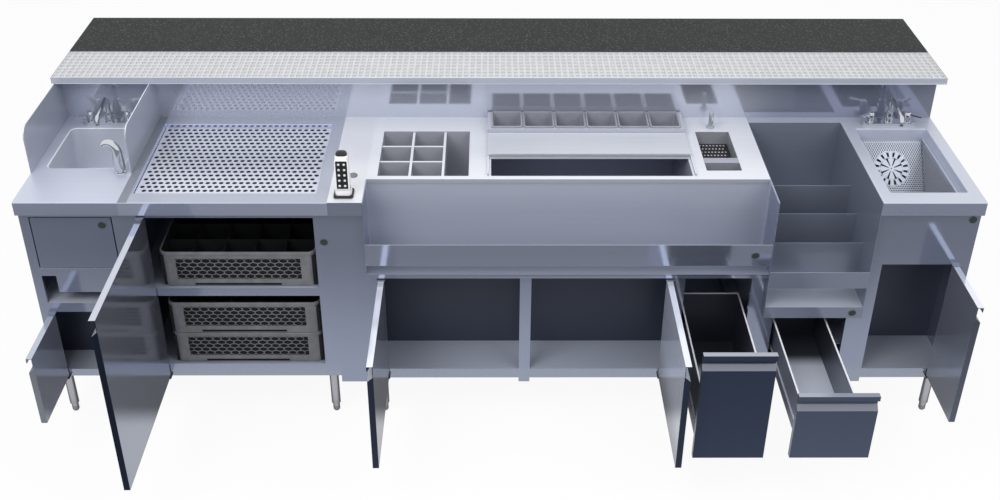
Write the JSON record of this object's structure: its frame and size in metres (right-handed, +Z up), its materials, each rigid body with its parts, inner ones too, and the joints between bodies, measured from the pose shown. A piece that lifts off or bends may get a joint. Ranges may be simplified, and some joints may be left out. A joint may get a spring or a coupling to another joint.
{
  "type": "cocktail station",
  "caption": "Under-bar steel cocktail station with sinks, drainboard, ice bin, bottle steps, speed rail, drawers and doors behind a stone bar top with a drink rail.",
  "frame": {"origin": "centre of the bounding box at floor level, doors open and drawers out as stored", "axes": "+X along the station to the bartender's right, +Y from the bartender towards the customers, +Z up"},
  "size_m": [2.862, 1.519, 0.9808],
  "materials": {
    "badge": "satin",
    "chrome": "polished",
    "die": "satin",
    "front_steel": "satin",
    "grid": "satin",
    "gun_plastic": "satin",
    "pan_plastic": "satin",
    "rack_plastic": "matte",
    "rubber": "matte",
    "steel": "satin",
    "stone": "polished",
    "well_plastic": "satin"
  },
  "bodies": {
    "station": {"backsplash": "steel", "badges": "badge", "bar_die": "die", "bottle_well": "well_plastic", "cocktail_deck": "steel", "door_hinges": "steel", "drainboard_top": "steel", "drawer_cabinet": "front_steel", "drawer_runners": "steel", "drink_rail": "steel", "dump_faucet_body": "chrome", "dump_sink_cabinet": "front_steel", "dump_sink_top": "steel", "garnish_tray": "steel", "gun_cabinet": "front_steel", "gun_holder": "rubber", "hand_faucet_body": "chrome", "hand_sink_cabinet": "front_steel", "hand_sink_top": "steel", "ice_bin": "steel", "legs": "steel", "rack_cabinet": "front_steel", "rinse_well": "steel", "side_splashes": "steel", "speed_rail": "steel", "step_display": "steel", "stone_top": "stone", "storage_cabinet": "front_steel"},
    "towel_door": {"towel_door": "front_steel"},
    "waste_door": {"waste_door": "front_steel"},
    "rack_door": {"rack_door": "front_steel"},
    "storage_door_left": {"storage_door_left": "front_steel"},
    "storage_door_right": {"storage_door_right": "front_steel"},
    "dump_door": {"dump_door": "front_steel"},
    "bottle_drawer": {"bottle_drawer": "front_steel"},
    "utility_drawer": {"utility_drawer": "front_steel"},
    "ice_cover_front": {"ice_cover_front": "steel"},
    "ice_cover_rear": {"ice_cover_rear": "steel"},
    "drain_insert": {"drain_insert": "steel"},
    "dump_basket": {"dump_basket": "steel"},
    "rinse_insert": {"rinse_insert": "rubber"},
    "upper_rack": {"upper_rack": "rack_plastic"},
    "lower_rack": {"lower_rack": "rack_plastic"},
    "stacked_rack": {"stacked_rack": "rack_plastic"},
    "hand_faucet_spout": {"hand_faucet_spout": "chrome"},
    "hand_faucet_handle_left": {"hand_faucet_handle_left": "chrome"},
    "hand_faucet_handle_right": {"hand_faucet_handle_right": "chrome"},
    "dump_faucet_spout": {"dump_faucet_spout": "chrome"},
    "dump_faucet_handle_left": {"dump_faucet_handle_left": "chrome"},
    "dump_faucet_handle_right": {"dump_faucet_handle_right": "chrome"},
    "soap_pump": {"soap_pump": "chrome"},
    "soda_gun": {"soda_gun": "gun_plastic"},
    "gun_keypad": {"gun_keypad": "rubber"},
    "garnish_pan_1": {"garnish_pan_1": "pan_plastic"},
    "garnish_pan_2": {"garnish_pan_2": "pan_plastic"},
    "garnish_pan_3": {"garnish_pan_3": "pan_plastic"},
    "garnish_pan_4": {"garnish_pan_4": "pan_plastic"},
    "garnish_pan_5": {"garnish_pan_5": "pan_plastic"},
    "garnish_pan_6": {"garnish_pan_6": "pan_plastic"},
    "drink_rail_grid": {"drink_rail_grid": "grid"}
  },
  "joints": [
    {"name": "towel_door_hinge", "type": "hinge", "parent": "station", "child": "towel_door", "pos_m": [-1.385, -0.2235, 0.6608], "axis": [0, 0, -1], "range_deg": [0, 100]},
    {"name": "waste_door_hinge", "type": "hinge", "parent": "station", "child": "waste_door", "pos_m": [-1.386, -0.2405, 0.2928], "axis": [0, 0, -1], "range_deg": [-90, 15]},
    {"name": "rack_door_hinge", "type": "hinge", "parent": "station", "child": "rack_door", "pos_m": [-1.062, -0.2405, 0.4628], "axis": [0, 0, -1], "range_deg": [-90, 15]},
    {"name": "storage_door_left_hinge", "type": "hinge", "parent": "station", "child": "storage_door_left", "pos_m": [-0.364, -0.2405, 0.3528], "axis": [0, 0, -1], "range_deg": [-90, 15]},
    {"name": "storage_door_right_hinge", "type": "hinge", "parent": "station", "child": "storage_door_right", "pos_m": [0.515, -0.2405, 0.3528], "axis": [0, 0, 1], "range_deg": [-90, 3]},
    {"name": "dump_door_hinge", "type": "hinge", "parent": "station", "child": "dump_door", "pos_m": [1.377, -0.2405, 0.3828], "axis": [0, 0, 1], "range_deg": [-90, 15]},
    {"name": "bottle_drawer_slide", "type": "slide", "parent": "station", "child": "bottle_drawer", "axis": [0, -1, 0], "range_m": [-0.377, 0.04]},
    {"name": "utility_drawer_slide", "type": "slide", "parent": "station", "child": "utility_drawer", "axis": [0, -1, 0], "range_m": [-0.377, 0.04]},
    {"name": "ice_cover_front_slide", "type": "slide", "parent": "station", "child": "ice_cover_front", "axis": [0, -1, 0], "range_m": [0, 0.104]},
    {"name": "ice_cover_rear_slide", "type": "slide", "parent": "station", "child": "ice_cover_rear", "axis": [0, -1, 0], "range_m": [0, 0.1]},
    {"name": "drain_insert_lift", "type": "slide", "parent": "station", "child": "drain_insert", "axis": [0, 0, 1], "range_m": [0, 0.15]},
    {"name": "dump_basket_lift", "type": "slide", "parent": "station", "child": "dump_basket", "axis": [0, 0, 1], "range_m": [0, 0.08]},
    {"name": "rinse_insert_lift", "type": "slide", "parent": "station", "child": "rinse_insert", "axis": [0, 0, 1], "range_m": [0, 0.15]},
    {"name": "upper_rack_slide", "type": "slide", "parent": "station", "child": "upper_rack", "axis": [0, -1, 0], "range_m": [0, 0.45]},
    {"name": "lower_rack_slide", "type": "slide", "parent": "station", "child": "lower_rack", "axis": [0, -1, 0], "range_m": [0, 0.45]},
    {"name": "stacked_rack_slide", "type": "slide", "parent": "lower_rack", "child": "stacked_rack", "axis": [0, -1, 0], "range_m": [0, 0.45]},
    {"name": "hand_faucet_swivel", "type": "hinge", "parent": "station", "child": "hand_faucet_spout", "pos_m": [-1.27, 0.2685, 0.8728], "axis": [0, 0, 1], "range_deg": [-100, 100]},
    {"name": "hand_faucet_left_turn", "type": "hinge", "parent": "station", "child": "hand_faucet_handle_left", "pos_m": [-1.33, 0.2685, 0.8468], "axis": [0, 0, -1], "range_deg": [0, 60]},
    {"name": "hand_faucet_right_turn", "type": "hinge", "parent": "station", "child": "hand_faucet_handle_right", "pos_m": [-1.21, 0.2685, 0.8468], "axis": [0, 0, 1], "range_deg": [0, 60]},
    {"name": "dump_faucet_swivel", "type": "hinge", "parent": "station", "child": "dump_faucet_spout", "pos_m": [1.27, 0.2685, 0.8728], "axis": [0, 0, 1], "range_deg": [-100, 100]},
    {"name": "dump_faucet_left_turn", "type": "hinge", "parent": "station", "child": "dump_faucet_handle_left", "pos_m": [1.21, 0.2685, 0.8468], "axis": [0, 0, -1], "range_deg": [0, 60]},
    {"name": "dump_faucet_right_turn", "type": "hinge", "parent": "station", "child": "dump_faucet_handle_right", "pos_m": [1.33, 0.2685, 0.8468], "axis": [0, 0, 1], "range_deg": [0, 60]},
    {"name": "soap_pump_press", "type": "slide", "parent": "station", "child": "soap_pump", "axis": [0, 0, -1], "range_m": [0, 0.009], "stiffness_N_per_m": 1500, "springref_m": -0.004},
    {"name": "soda_gun_lift", "type": "slide", "parent": "station", "child": "soda_gun", "axis": [0, 0, 1], "range_m": [0, 0.15]},
    {"name": "gun_keypad_press", "type": "slide", "parent": "soda_gun", "child": "gun_keypad", "axis": [0, 1, 0], "range_m": [0, 0.0012], "stiffness_N_per_m": 1500, "springref_m": -0.001},
    {"name": "garnish_pan_1_lift", "type": "slide", "parent": "station", "child": "garnish_pan_1", "axis": [0, 0, 1], "range_m": [0, 0.1]},
    {"name": "garnish_pan_2_lift", "type": "slide", "parent": "station", "child": "garnish_pan_2", "axis": [0, 0, 1], "range_m": [0, 0.1]},
    {"name": "garnish_pan_3_lift", "type": "slide", "parent": "station", "child": "garnish_pan_3", "axis": [0, 0, 1], "range_m": [0, 0.1]},
    {"name": "garnish_pan_4_lift", "type": "slide", "parent": "station", "child": "garnish_pan_4", "axis": [0, 0, 1], "range_m": [0, 0.1]},
    {"name": "garnish_pan_5_lift", "type": "slide", "parent": "station", "child": "garnish_pan_5", "axis": [0, 0, 1], "range_m": [0, 0.1]},
    {"name": "garnish_pan_6_lift", "type": "slide", "parent": "station", "child": "garnish_pan_6", "axis": [0, 0, 1], "range_m": [0, 0.1]},
    {"name": "drink_rail_grid_lift", "type": "slide", "parent": "station", "child": "drink_rail_grid", "axis": [0, 0, 1], "range_m": [0, 0.05]}
  ]
}
